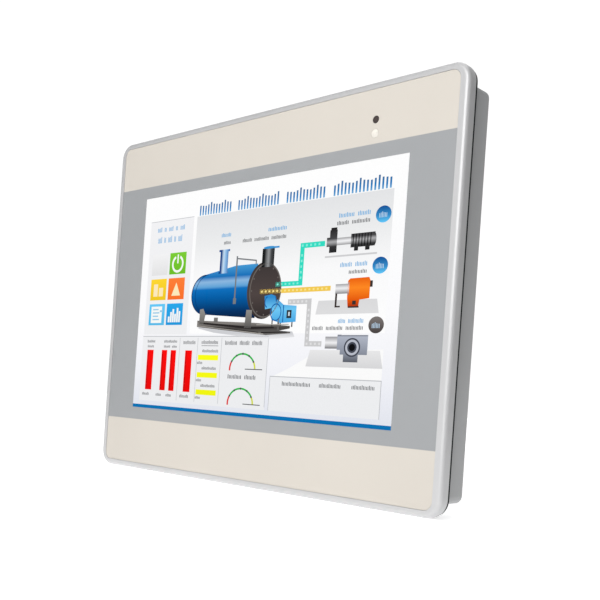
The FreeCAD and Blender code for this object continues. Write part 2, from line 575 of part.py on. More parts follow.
def board_parts():
    chip_back = f"({BOARD_BACK} + chip_tall)"
    pad_back = f"({chip_back} + pad_tall)"
    base_back = f"({pad_back} + sink_base)"
    node(block("chip", around("0", "chip_half"), (BOARD_BACK, chip_back), around("chip_z", "chip_half")),
         "processor")
    node(block("pad", around("0", "chip_half"), (chip_back, pad_back), around("chip_z", "chip_half")),
         "thermal_pad")
    base = block("heat_base", around("0", "sink_half"), (pad_back, base_back),
                 around("chip_z", "sink_half"))
    fins = [block(f"fin_{i}", around(f"{i - 3.5} * fin_pitch", "fin_thick / 2"),
                  (base_back, f"{base_back} + fin_tall"), around("chip_z", "sink_half")) for i in range(8)]
    node(joined("heat_fins", [base] + fins), "heat_sink")
    can = block("can_outer", around("can_x", "can_half"), (BOARD_BACK, f"{BOARD_BACK} + can_tall"),
                around("can_z", "can_half"))
    can_space = block("can_inner", around("can_x", "can_half - clip_sheet"),
                      (BOARD_BACK, f"{BOARD_BACK} + can_tall - clip_sheet"),
                      around("can_z", "can_half - clip_sheet"))
    node(cut("can_cut", can, [can_space]), "shield_can")
    caps = [rod(f"cap_{i}", "cap_round", (BOARD_BACK, f"{BOARD_BACK} + cap_tall"),
                x=f"cap_x + {i} * cap_step",
                z="cap_z") for i in range(2)]
    node(group("cap_set", caps), "power_capacitors")
    floor = f"({BOARD_BACK} + holder_floor)"
    holder = rod("holder_outer", "coin_round + coin_gap + holder_wall",
                 (BOARD_BACK, f"{floor} + coin_tall"),
                 x="cell_x", z="cell_z")
    holder_space = rod("holder_inner", "coin_round + coin_gap", (floor, f"{floor} + coin_tall"),
                       x="cell_x", z="cell_z")
    node(cut("holder_cut", holder, [holder_space]), "battery_holder")
    node(rod("coin", "coin_round", (floor, f"{floor} + coin_tall"), x="cell_x", z="cell_z"), "coin_cell")
    clip_y = f"({floor} + coin_tall)"
    node(block("clip", around("cell_x", "clip_half"), (clip_y, f"{clip_y} + clip_sheet"),
               around("cell_z", "coin_round + holder_wall")), "battery_clip")


# ---------------------------------------------------------------- sockets
PORTS = dict(power=("power_x", f"({BOARD_FRONT} + {BLOCK_BACK}) / 2", "pole_pitch * 1.5 + block_side",
                    f"({BLOCK_BACK} - {BOARD_FRONT}) / 2"),
             serial_a=("serial_a_x", SERIAL_Y, "shell_wide / 2", "shell_deep / 2"),
             serial_b=("serial_b_x", SERIAL_Y, "shell_wide / 2", "shell_deep / 2"),
             lan=("lan_x", LAN_Y, "lan_wide / 2", "lan_deep / 2"),
             usb=("usb_x", USB_Y, "usb_wide / 2", "usb_deep / 2"),
             usb_b=("usb_b_x", USB_B_Y, "usb_b_wide / 2", "usb_b_deep / 2"),
             dip=("dip_x", DIP_Y, "dip_pitch * 2 + port_gap", "dip_deep / 2"))


def port_plate():
    inner = block("plate_inner", around("0", "bay_wide / 2 - plate_step"),
                  (f"{BAY_FRONT} + plate_step", f"{HOUSING_BACK} + plate_step"), (PLATE_LOW, PLATE_HIGH))
    outer = block("plate_outer", around("0", "cover_side - cover_sheet - cover_gap"),
                  (f"{HOUSING_BACK} + plate_step", f"{COVER_INSIDE} - cover_gap"), (PLATE_LOW, PLATE_HIGH))
    holes = [block(f"port_{name}", around(x, f"{half_x} + port_gap"), around(y, f"{half_y} + port_gap"),
                   (PLATE_LOW, PLATE_HIGH)) for name, (x, y, half_x, half_y) in PORTS.items()]
    holes.append(rod("reset_hole", "reset_round + reset_gap", (PLATE_LOW, PLATE_HIGH), x="reset_x",
                     y=RESET_Y))
    holes.append(rod("earth_hole", "stud_round + stud_gap", (PLATE_LOW, PLATE_HIGH), x="earth_x",
                     y=EARTH_Y))
    for name in ("serial_a_x", "serial_b_x"):
        for side in (-1, 1):
            holes.append(rod(f"jack_{name}_{side + 1}", "jack_stem", (PLATE_LOW, PLATE_HIGH),
                             x=f"{name} + ({side}) * jack_in", y=SERIAL_Y))
    node(cut("plate_cut", joined("plate_blank", [inner, outer]), holes), "port_plate")
    stud = rod("stud", "stud_round", (f"{PLATE_LOW} - stud_long", PLATE_HIGH), x="earth_x", y=EARTH_Y)
    head = hexagon("stud_head", "nut_round", (PLATE_HIGH, f"{PLATE_HIGH} + stud_head"), x="earth_x",
                   y=EARTH_Y)
    node(joined("stud_solid", [stud, head]), "earth_stud")
    nut = hexagon("nut_blank", "nut_round", (f"{PLATE_LOW} - nut_tall", PLATE_LOW), x="earth_x", y=EARTH_Y)
    bore = rod("nut_bore", "stud_round", (f"{PLATE_LOW} - nut_tall", PLATE_LOW), x="earth_x", y=EARTH_Y)
    node(cut("nut_cut", nut, [bore]), "earth_nut")


def power_terminal():
    _, y_mid, half_x, half_y = PORTS["power"]
    low = f"({PLATE_LOW} - block_drop)"
    hanging = block("terminal_blank", around("power_x", half_x), around(y_mid, half_y), (low, PLATE_HIGH))
    foot = block("terminal_foot", around("power_x", half_x), (BOARD_BACK, BLOCK_BACK),
                 (PLATE_HIGH, f"{PLATE_HIGH} + block_up"))
    cage_z = f"({low} + wire_deep / 2)"
    cage_front = f"({BOARD_FRONT} + cage_floor + cage_clear)"
    way_back = f"({cage_front} + cage_deep + cage_travel + cage_clear)"
    well_front = f"({way_back} + shoulder)"
    head_front = f"({well_front} + cage_clear)"
    head_back = f"({head_front} + head_thick)"
    poles = {number: f"(power_x + ({number - 2}) * pole_pitch)" for number in (1, 2, 3)}
    holes = []
    for pole, x in poles.items():
        holes.append(block(f"wire_way_{pole}", around(x, "cage_wide / 2 + cage_clear"),
                           (f"{cage_front} - cage_clear", way_back), (low, f"{low} + wire_deep")))
        holes.append(rod(f"shank_way_{pole}", "screw_shank + shank_gap", (way_back, well_front), x=x,
                         z=cage_z))
        holes.append(rod(f"screw_well_{pole}", "screw_well", (well_front, BLOCK_BACK), x=x, z=cage_z))
    node(cut("terminal_cut", joined("terminal_solid", [hanging, foot]), holes), "power_terminal")
    for pole, x in poles.items():
        head = rod(f"clamp_head_{pole}", "screw_head", (head_front, head_back), x=x, z=cage_z)
        shank = rod(f"clamp_shank_{pole}", "screw_shank", (f"{head_back} - screw_long", head_back), x=x,
                    z=cage_z)
        slot = block(f"clamp_slot_cut_{pole}", around(x, "screw_head"),
                     (f"{head_back} - slot_cut_deep", head_back),
                     around(cage_z, "slot_cut / 2"))
        node(cut(f"terminal_screw_cut_{pole}", joined(f"clamp_blank_{pole}", [head, shank]), [slot]),
             f"terminal_screw_{pole}")
        cage = block(f"cage_blank_{pole}", around(x, "cage_wide / 2"),
                     (cage_front, f"{cage_front} + cage_deep"), around(cage_z, "cage_tall / 2"))
        hollow = block(f"cage_hollow_{pole}", around(x, "cage_wide / 2 - cage_wall"),
                       (f"{cage_front} + cage_wall", f"{cage_front} + cage_deep - 2 * cage_wall"),
                       around(cage_z, "cage_tall / 2"))
        bore = rod(f"cage_bore_{pole}", "screw_shank + thread_gap",
                   (f"{cage_front} + cage_wall", f"{cage_front} + cage_deep"), x=x, z=cage_z)
        node(cut(f"cage_cut_{pole}", cage, [hollow, bore]), f"wire_cage_{pole}")


def serial_port(letter):
    x = f"serial_{letter}_x"
    flange = block(f"serial_{letter}_body", around(x, "serial_wide / 2"),
                   around(SERIAL_Y, "serial_deep / 2"),
                   (PLATE_HIGH, f"{PLATE_HIGH} + serial_long"))
    shell = block(f"serial_{letter}_shell", around(x, "shell_wide / 2"), around(SERIAL_Y, "shell_deep / 2"),
                  (f"{PLATE_LOW} - shell_drop", PLATE_HIGH))
    edges = doc.addObject("Part::Fillet", f"serial_{letter}_round")
    edges.Base = shell
    doc.recompute()
    upright = [i for i, edge in enumerate(shell.Shape.Edges, start=1)
               if abs(edge.BoundBox.ZLength - shell.Height.Value) < 1e-6]
    bend = number("shell_bend")
    edges.Edges = [(i, bend, bend) for i in upright]
    groove = [block(f"serial_{letter}_gap_out", around(x, "shell_wide / 2 - shell_sheet"),
                    around(SERIAL_Y, "shell_deep / 2 - shell_sheet"),
                    (f"{PLATE_LOW} - shell_drop", f"{PLATE_LOW} - shell_drop + shell_groove"))]
    for row, count in ((-1, 4), (1, 5)):
        for index in range(count):
            offset = f"{index - (count - 1) / 2} * contact_pitch"
            groove.append(rod(f"serial_{letter}_hole_{row + 1}_{index}", "contact_round",
                              (f"{PLATE_LOW} - shell_drop", f"{PLATE_LOW} - shell_drop + contact_sink"),
                              x=f"{x} + {offset}", y=f"{SERIAL_Y} + ({row}) * contact_row / 2"))
    groove += [rod(f"serial_{letter}_thread_{side + 1}", "jack_stem",
                   (PLATE_HIGH, f"{PLATE_HIGH} + jack_grip"),
                   x=f"{x} + ({side}) * jack_in", y=SERIAL_Y) for side in (-1, 1)]
    node(cut(f"serial_{letter}_cut", joined(f"serial_{letter}_solid", [flange, edges]), groove),
         f"serial_port_{letter}")


def jack_screws():
    pieces = []
    for name in ("serial_a_x", "serial_b_x"):
        for side in (-1, 1):
            tag = f"{name}_{side + 1}"
            place = dict(x=f"{name} + ({side}) * jack_in", y=SERIAL_Y)
            nut = hexagon(f"jack_nut_{tag}", "jack_round", (f"{PLATE_LOW} - jack_long", PLATE_LOW), **place)
            stem = rod(f"jack_stem_{tag}", "jack_stem", (PLATE_LOW, f"{PLATE_HIGH} + jack_grip"), **place)
            bore = rod(f"jack_bore_{tag}", "jack_thread",
                       (f"{PLATE_LOW} - jack_long", f"{PLATE_LOW} - jack_floor"), **place)
            pieces.append(cut(f"jack_screw_{tag}", joined(f"jack_blank_{tag}", [nut, stem]), [bore]))
    node(group("jack_set", pieces), "serial_jack_screws")


def socket(name, x, y, half_x, half_y, drop, long, wall, tongue, cavity, label):
    """Plated shell with a hollow from below and a contact tongue inside."""
    low = f"({PLATE_LOW} - {drop})"
    shell = block(f"{name}_shell", around(x, half_x), around(y, half_y), (low, f"{low} + {long}"))
    hollow = block(f"{name}_hollow", around(x, f"{half_x} - {wall}"), around(y, f"{half_y} - {wall}"),
                   (low, f"{low} + {cavity}"))
    tip = block(f"{name}_tongue", around(x, f"{half_x} - {wall} - tongue_in"), around(y, f"{tongue} / 2"),
                (f"{low} + tongue_in", f"{low} + {cavity}"))
    node(joined(f"{name}_solid", [cut(f"{name}_cut", shell, [hollow]), tip]), label)


def ethernet_jack():
    low = f"({PLATE_LOW} - lan_drop)"
    shell = block("lan_shell", around("lan_x", "lan_wide / 2"), around(LAN_Y, "lan_deep / 2"),
                  (low, f"{low} + lan_long"))
    middle = f"({LAN_Y} + lan_hole_off)"
    hollow = block("lan_hollow", around("lan_x", "lan_hole / 2"), around(middle, "lan_hole_deep / 2"),
                   (low, f"{low} + lan_cavity"))
    latch = block("lan_latch", around("lan_x", "lan_hole / 4"),
                  (f"{middle} + lan_hole_deep / 2", f"{middle} + lan_hole_deep / 2 + latch_deep"),
                  (low, f"{low} + latch_long"))
    wires = [block(f"lan_wire_{i}", around(f"lan_x + {i - 3.5} * wire_pitch", "wire_half"),
                   (f"{middle} - lan_hole_deep / 2", f"{middle} - lan_hole_deep / 2 + wire_tall"),
                   (f"{low} + wire_start", f"{low} + lan_cavity")) for i in range(8)]
    node(joined("lan_solid", [cut("lan_cut", shell, [hollow, latch])] + wires), "ethernet_jack")


def reset_switch():
    stop = f"({PLATE_HIGH} + reset_gap + reset_flange_tall)"
    rest = f"({stop} + reset_travel + lever_gap)"
    place = dict(x="reset_x", y=RESET_Y)
    cap = rod("reset_cap", "reset_round", (f"{PLATE_LOW} - reset_out", f"{stop}"), **place)
    flange = rod("reset_collar", "reset_flange", (f"{PLATE_HIGH} + reset_gap", stop), **place)
    stem = rod("reset_stem", "plunger_round", (stop, f"{rest} + plunger_in"), **place)
    node(joined("reset_solid", [cap, flange, stem]), "reset_button")
    body = block("switch_blank", around("reset_x", "switch_half"), (BOARD_BACK, f"{RESET_Y} + switch_half"),
                 (rest, f"{rest} + switch_tall"))
    bore = rod("switch_bore", "plunger_round + reset_gap",
               (rest, f"{rest} + plunger_in + reset_travel + lever_gap"),
               **place)
    node(cut("switch_cut", body, [bore]), "reset_switch")


def dip_switch():
    low = f"({PLATE_LOW} - dip_drop)"
    blank = block("dip_blank", around("dip_x", "dip_pitch * 2"), (DIP_FRONT, DIP_BACK),
                  (low, f"{PLATE_HIGH} + dip_up"))
    slots = []
    for index in range(4):
        x = f"(dip_x + {index - 1.5} * dip_pitch)"
        slots.append(block(f"dip_slot_{index}", around(x, "dip_slot / 2"),
                           around(DIP_Y, "dip_slot_long / 2"),
                           (low, f"{low} + dip_slot_deep")))
    node(cut("dip_cut", blank, slots), "dip_switch")
    for index in range(4):
        x = f"(dip_x + {index - 1.5} * dip_pitch)"
        front = f"({DIP_Y} - dip_slot_long / 2 + lever_gap)"
        lever = block(f"lever_{index}", around(x, "lever_wide / 2"), (front, f"{front} + lever_long"),
                      (f"{low} - lever_out", f"{low} + dip_slot_deep - lever_gap"))
        node(lever, f"dip_lever_{index + 1}")


def write_parts():
    doc.recompute()
    for item in doc.Objects:
        if "Invalid" in item.State or "Error" in item.State:
            raise RuntimeError(f"{item.Label} failed: {item.State}")
    for piece in nodes:
        if piece.Shape.isNull() or not piece.Shape.isValid() or not piece.Shape.Solids:
            raise RuntimeError(f"{piece.Label} has no sound shape")
    os.makedirs("parts", exist_ok=True)
    for piece in nodes:
        piece.Shape.exportStep(f"parts/{piece.Label}.step")


front_bezel()
overlay_film()
touch_glass()
panel_gasket()
indicators()
display_module()
rear_housing()
rear_cover()
chassis_and_board()
cables()
board_parts()
port_plate()
power_terminal()
serial_port("a")
serial_port("b")
jack_screws()
ethernet_jack()
socket("usb", "usb_x", USB_Y, "usb_wide / 2", "usb_deep / 2", "usb_drop", "usb_long", "usb_sheet",
       "usb_tongue", "usb_b_cavity", "usb_host_port")
socket("usb_b", "usb_b_x", USB_B_Y, "usb_b_wide / 2", "usb_b_deep / 2", "usb_drop", "usb_b_long",
       "usb_b_sheet", "usb_b_tongue", "usb_b_cavity", "usb_client_port")
reset_switch()
dip_switch()
write_parts()
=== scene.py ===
import bmesh
import bpy
import json
import math
from mathutils import Matrix, Vector


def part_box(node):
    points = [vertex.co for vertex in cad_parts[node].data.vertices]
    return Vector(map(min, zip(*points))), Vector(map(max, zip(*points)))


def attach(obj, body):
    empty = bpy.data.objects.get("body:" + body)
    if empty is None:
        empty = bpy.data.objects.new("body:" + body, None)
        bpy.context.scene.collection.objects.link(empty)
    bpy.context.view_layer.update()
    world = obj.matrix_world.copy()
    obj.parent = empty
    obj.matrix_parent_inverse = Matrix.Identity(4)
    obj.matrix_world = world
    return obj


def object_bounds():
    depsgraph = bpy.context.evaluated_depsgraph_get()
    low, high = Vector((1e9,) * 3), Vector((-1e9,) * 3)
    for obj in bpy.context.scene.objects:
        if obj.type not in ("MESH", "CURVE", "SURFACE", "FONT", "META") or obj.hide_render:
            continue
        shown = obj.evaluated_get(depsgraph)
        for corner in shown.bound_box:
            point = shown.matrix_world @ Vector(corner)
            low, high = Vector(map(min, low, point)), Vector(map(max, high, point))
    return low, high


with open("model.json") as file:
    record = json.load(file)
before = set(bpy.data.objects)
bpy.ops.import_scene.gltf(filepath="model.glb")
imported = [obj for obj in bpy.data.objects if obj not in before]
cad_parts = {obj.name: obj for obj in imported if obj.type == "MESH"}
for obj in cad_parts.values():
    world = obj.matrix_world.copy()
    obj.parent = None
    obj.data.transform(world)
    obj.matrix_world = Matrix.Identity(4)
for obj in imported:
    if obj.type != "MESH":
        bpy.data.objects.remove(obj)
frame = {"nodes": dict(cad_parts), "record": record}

cad_low, cad_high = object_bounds()
film_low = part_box("overlay_film")[0]


def linear(red, green, blue):
    """A colour from its 0-255 screen values."""
    def one(value):
        value /= 255
        return value / 12.92 if value <= 0.04045 else ((value + 0.055) / 1.055) ** 2.4
    return (one(red), one(green), one(blue), 1.0)


MM = 0.001
BODY = "panel"

# The screen and the printed film, mm.
FACE = film_low.y / MM          # front of the printed film
SCREEN_X = 104.25               # half width of the screen
SCREEN_Z = 67.2                 # half height of the screen
BAND_Z = 74.9                   # half height of the grey band
PRINT_EDGE = 0.15               # half width of the soft edge between two printed colours
LAYER = 0.022                   # thickness of one picture layer
CREAM = linear(200, 194, 185)
BAND_GREY = linear(149, 151, 153)
PRINT_DRIFT = 1.035             # how much lighter the print is in its lighter patches

# Ticks that stand in the place of writing.
TICK_WIDE = 0.24                # share of a letter's place
TICK_HEIGHTS = (1.2, 1.0, 0.95, 0.9, 1.0)       # shares of the line's height, taken in turn

# Surface texture.
DARK_PATCH, LIGHT_PATCH = 0.3, 0.7              # noise values that take the two tints of a finish
GLOSS_RANGE = 0.07              # roughness goes this far up and down with the grain
GRAIN_DEPTH = 0.06 * MM         # depth of a moulded grain
FILM_GRAIN_DEPTH = 0.04 * MM    # depth of the film's satin texture
ROLLED = (1.0, 30.0, 30.0)      # draws the grain of rolled or extruded metal out along X
COAT_ROUGH = 0.15               # roughness of a clear coat

# Scales of the noise in the finishes: a larger one is finer.
DRIFT_SCALE = 14.0              # slow colour drift of a moulding
PRINT_SCALE = 11.0              # slow colour drift of the printed film
SATIN_SCALE = 1600.0            # satin texture of the printed film
TRACK_SCALE = 260.0             # tracks and pads of the circuit board
RESIST_SCALE = 700.0            # gloss of the solder resist
SWIRL_SCALE = 320.0             # swirl in the lenses
DISPLAY_SCALE = 2600.0          # fine grain of the lit display
PAPER_SCALE = 3.0               # drift of the studio's sheets

# Studio, metres and watts.
FLOOR_HALF = 5
FLOOR_DROP = 0.0002             # the floor lies this far under the bezel's lower edge
FLOOR_GLOW = 0.6
FLOOR_GREYS = (248, 252)
CARDS = {"right_card": (0.6, 0.1, 0.8), "left_card": (-0.6, -0.55, 0.6)}        # x, y, half size
CARD_GREYS = (52, 56)
WORLD_LIGHT = 0.61              # brightness of the surround as a light
WORLD_SEEN = 1.05               # brightness of the plain white surround in view
LAMPS = {                       # place, width and height, power
    "key": ((0.3, -1.1, 0.5), (1.0, 0.8), 9.6),
    "top": ((0.1, 0.2, 1.4), (1.4, 1.0), 4.0),
}

# Camera: level view from the front right with a slight roll.
CAMERA_RIGHT = Vector((0.72921, 0.68084, 0.06860))
CAMERA_UP = Vector((-0.04875, -0.04831, 0.99764))
CAMERA_PLACE = (0.35416, -0.33314, -0.05528)    # metres; Y is measured from the film's front
CAMERA_LENS = 51.54             # mm
CAMERA_SENSOR = 36              # mm
CAMERA_SHIFT = 0.163            # slides the frame up by this share of its width

# Moulded, painted, rolled and turned finishes, by material slot.
MOULDINGS = {
    "bezel_plastic": dict(colour=(192, 192, 193), rough=0.4, grain=1200, relief=0.1, metallic=0.2, coat=0.35,
                          drift=0.02),
    "gasket_rubber": dict(colour=(20, 21, 23), rough=0.85, grain=600, relief=0.3),
    "housing_plastic": dict(colour=(172, 173, 174), rough=0.55, grain=1500, relief=0.3, drift=0.025),
    "cover_sheet": dict(colour=(168, 170, 172), rough=0.5, grain=2200, relief=0.35, metallic=0.1, coat=0.1,
                        drift=0.03),
    "bare_sheet": dict(colour=(186, 188, 190), rough=0.34, grain=90, relief=0.1, metallic=0.85,
                       stretch=ROLLED),
    "black_moulding": dict(colour=(42, 43, 45), rough=0.5, relief=0.25),
    "backlight": dict(colour=(226, 228, 228), rough=0.5),
    "aluminium": dict(colour=(196, 198, 202), rough=0.36, grain=60, metallic=0.9, drift=0.04, stretch=ROLLED),
    "thermal_rubber": dict(colour=(150, 158, 176), rough=0.8, grain=500, relief=0.3),
    "terminal_green": dict(colour=(44, 128, 66), rough=0.42, grain=800, relief=0.15),
    "plated_steel": dict(colour=(198, 198, 196), rough=0.24, grain=240, relief=0.08, metallic=0.92,
                         drift=0.05),
    "zinc_screws": dict(colour=(184, 186, 190), rough=0.28, grain=500, relief=0.15, metallic=0.92,
                        drift=0.08),
    "brass_stud": dict(colour=(206, 172, 96), rough=0.28, grain=400, metallic=0.95, drift=0.08),
    "flat_cable": dict(colour=(206, 148, 70), rough=0.28, grain=200, relief=0.05, coat=0.5),
    "red_plastic": dict(colour=(176, 36, 30), rough=0.35, relief=0.1),
    "white_levers": dict(colour=(232, 232, 228), rough=0.35, relief=0.1),
    "grey_button": dict(colour=(86, 89, 94), rough=0.45, relief=0.2),
    "blank_label": dict(colour=(222, 223, 222), rough=0.35, grain=1800, relief=0.05, metallic=0.3),
}
LENSES = {                      # colour and roughness, by material slot
    "touch_glass": ((190, 205, 210), 0.05),
    "screen": ((225, 230, 236), 0.1),
    "dark_lens": ((70, 62, 60), 0.12),
    "pale_lens": ((228, 223, 214), 0.12),
}


# ------------------------------------------------------------------ materials
def new_material(name):
    """An empty material with its node tree, its shader and the Object coordinates."""
    material = bpy.data.materials.new(name)
    material.use_nodes = True
    tree = material.node_tree
    shader = next(node for node in tree.nodes if node.type == "BSDF_PRINCIPLED")
    place = tree.nodes.new("ShaderNodeTexCoord")
    return material, tree, shader, place.outputs["Object"]


def noise(tree, place, scale, detail=4.0, stretch=None):
    """Noise from 0 to 1; stretch draws it out along the axis with the smallest number."""
    if stretch:
        mapping = tree.nodes.new("ShaderNodeMapping")
        mapping.inputs["Scale"].default_value = stretch
        tree.links.new(place, mapping.inputs["Vector"])
        place = mapping.outputs["Vector"]
    node = tree.nodes.new("ShaderNodeTexNoise")
    node.inputs["Scale"].default_value = scale
    node.inputs["Detail"].default_value = detail
    tree.links.new(place, node.inputs["Vector"])
    return node.outputs["Fac"]


def ramp(tree, value, stops):
    """Colours from a value, by stops of place and colour."""
    node = tree.nodes.new("ShaderNodeValToRGB")
    while len(node.color_ramp.elements) < len(stops):
        node.color_ramp.elements.new(0.5)
    for element, (place, colour) in zip(node.color_ramp.elements, stops):
        element.position = place
        element.color = colour
    tree.links.new(value, node.inputs["Fac"])
    return node.outputs["Color"]


def patches(tree, value, dark, light):
    """Two tints that run into each other with the noise."""
    return ramp(tree, value, [(DARK_PATCH, dark), (LIGHT_PATCH, light)])


def spread(tree, value, low, high, start=0.0, stop=1.0):
    """Takes a value between start and stop to one between low and high."""
    node = tree.nodes.new("ShaderNodeMapRange")
    node.inputs["From Min"].default_value = start
    node.inputs["From Max"].default_value = stop
    node.inputs["To Min"].default_value = low
    node.inputs["To Max"].default_value = high
    tree.links.new(value, node.inputs["Value"])
    return node.outputs["Result"]


def parts_of(tree, place):
    """The X, Y and Z of a place."""
    split = tree.nodes.new("ShaderNodeSeparateXYZ")
    tree.links.new(place, split.inputs["Vector"])
    return split.outputs


def bump(tree, shader, height, strength, distance):
    """Fine relief from the grain."""
    node = tree.nodes.new("ShaderNodeBump")
    node.inputs["Strength"].default_value = strength
    node.inputs["Distance"].default_value = distance
    tree.links.new(height, node.inputs["Height"])
    tree.links.new(node.outputs["Normal"], shader.inputs["Normal"])


def shade(colour, factor):
    """The colour, darker or lighter by a factor."""
    return tuple(min(1.0, channel * factor) for channel in colour[:3]) + (1.0,)


def moulded(name, colour, rough=0.45, grain=900.0, relief=0.12, metallic=0.0, coat=0.0, drift=0.06,
            stretch=None):
    """Moulded, painted or rolled finish: slow colour drift, fine surface grain, uneven gloss."""
    material, tree, shader, place = new_material(name)
    base = linear(*colour)
    tint = patches(tree, noise(tree, place, DRIFT_SCALE, 3.0), shade(base, 1 - drift), shade(base, 1 + drift))
    tree.links.new(tint, shader.inputs["Base Color"])
    fine = noise(tree, place, grain, 3.0, stretch)
    gloss = spread(tree, fine, rough - GLOSS_RANGE, rough + GLOSS_RANGE)
    tree.links.new(gloss, shader.inputs["Roughness"])
    bump(tree, shader, fine, relief, GRAIN_DEPTH)
    shader.inputs["Metallic"].default_value = metallic
    shader.inputs["Coat Weight"].default_value = coat
    shader.inputs["Coat Roughness"].default_value = COAT_ROUGH
    return material


def film_print():
    """Printed film: cream above and below, mid grey between, with a fine satin texture."""
    material, tree, shader, place = new_material("printed_film")
    height = tree.nodes.new("ShaderNodeMath")
    height.operation = "ABSOLUTE"
    tree.links.new(parts_of(tree, place)["Z"], height.inputs[0])
    edge = spread(tree, height.outputs["Value"], 0, 1, (BAND_Z - PRINT_EDGE) * MM, (BAND_Z + PRINT_EDGE) * MM)
    slow = noise(tree, place, PRINT_SCALE, 2.0)
    mix = tree.nodes.new("ShaderNodeMix")
    mix.data_type = "RGBA"
    tree.links.new(edge, mix.inputs["Factor"])
    for ink_colour, socket in ((BAND_GREY, "A"), (CREAM, "B")):
        tree.links.new(patches(tree, slow, ink_colour, shade(ink_colour, PRINT_DRIFT)), mix.inputs[socket])
    tree.links.new(mix.outputs["Result"], shader.inputs["Base Color"])
    fine = noise(tree, place, SATIN_SCALE, 2.0)
    tree.links.new(spread(tree, fine, 0.38, 0.5), shader.inputs["Roughness"])
    bump(tree, shader, fine, 0.08, FILM_GRAIN_DEPTH)
    shader.inputs["Specular IOR Level"].default_value = 0.35
    return material


def circuit_board():
    """Green solder resist with copper tracks and pads showing under it."""
    material, tree, shader, place = new_material("circuit_board")
    brick = tree.nodes.new("ShaderNodeTexBrick")
    brick.inputs["Scale"].default_value = TRACK_SCALE
    brick.inputs["Color1"].default_value = linear(16, 92, 48)
    brick.inputs["Color2"].default_value = linear(22, 108, 58)
    brick.inputs["Mortar"].default_value = linear(66, 140, 74)
    brick.inputs["Mortar Size"].default_value = 0.03
    swap = tree.nodes.new("ShaderNodeMapping")
    swap.inputs["Rotation"].default_value = (math.radians(90), 0, 0)
    tree.links.new(place, swap.inputs["Vector"])
    tree.links.new(swap.outputs["Vector"], brick.inputs["Vector"])
    tree.links.new(brick.outputs["Color"], shader.inputs["Base Color"])
    fine = noise(tree, place, RESIST_SCALE, 2.0)
    tree.links.new(spread(tree, fine, 0.25, 0.4), shader.inputs["Roughness"])
    return material


def lens(name, colour, rough):
    """Clear or tinted glass-like piece with a faint swirl, under a glossy coat."""
    material, tree, shader, place = new_material(name)
    swirl = noise(tree, place, SWIRL_SCALE, 2.0)
    base = linear(*colour)
    tree.links.new(patches(tree, swirl, shade(base, 0.9), shade(base, 1.08)), shader.inputs["Base Color"])
    tree.links.new(spread(tree, swirl, rough, rough + 0.08), shader.inputs["Roughness"])
    shader.inputs["Coat Weight"].default_value = 0.6
    return material


def finish_nodes():
    """Gives each CAD node the finish of its material slot."""
    finishes = {"printed_film": film_print(), "circuit_board": circuit_board()}
    for name, look in MOULDINGS.items():
        finishes[name] = moulded(name, **look)
    for name, (colour, rough) in LENSES.items():
        finishes[name] = lens(name, colour, rough)
    for row in frame["record"]["subparts"]:
        mesh = frame["nodes"][row["node"]].data
        mesh.materials.clear()
        mesh.materials.append(finishes[row["material_slot"]])


# ------------------------------------------------------------------ the lit picture
def ink(name, stops, axis="Z"):
    """Light of the screen: a colour run along one axis in mm, broken up by a fine grain."""
    material, tree, shader, place = new_material("ink_" + name)
    low, high = stops[0][0], stops[-1][0]
    run = spread(tree, parts_of(tree, place)[axis], 0, 1, low * MM, high * MM)
    colour = ramp(tree, run, [((at - low) / (high - low), linear(*rgb)) for at, rgb in stops])
    scale = tree.nodes.new("ShaderNodeVectorMath")
    scale.operation = "SCALE"
    tree.links.new(colour, scale.inputs[0])
    tree.links.new(spread(tree, noise(tree, place, DISPLAY_SCALE, 1.0), 0.94, 1.04), scale.inputs["Scale"])
    tree.links.new(scale.outputs["Vector"], shader.inputs["Emission Color"])
    shader.inputs["Emission Strength"].default_value = 1.0
    shader.inputs["Base Color"].default_value = (0.001, 0.001, 0.001, 1)
    shader.inputs["Roughness"].default_value = 0.3
    shader.inputs["Specular IOR Level"].default_value = 0.03
    return material


def flat(name, rgb):
    """Nearly even colour, a little darker towards the foot of the screen."""
    foot = tuple(max(0, value - 5) for value in rgb)
    return ink(name, [(-SCREEN_Z, foot), (SCREEN_Z, rgb)])


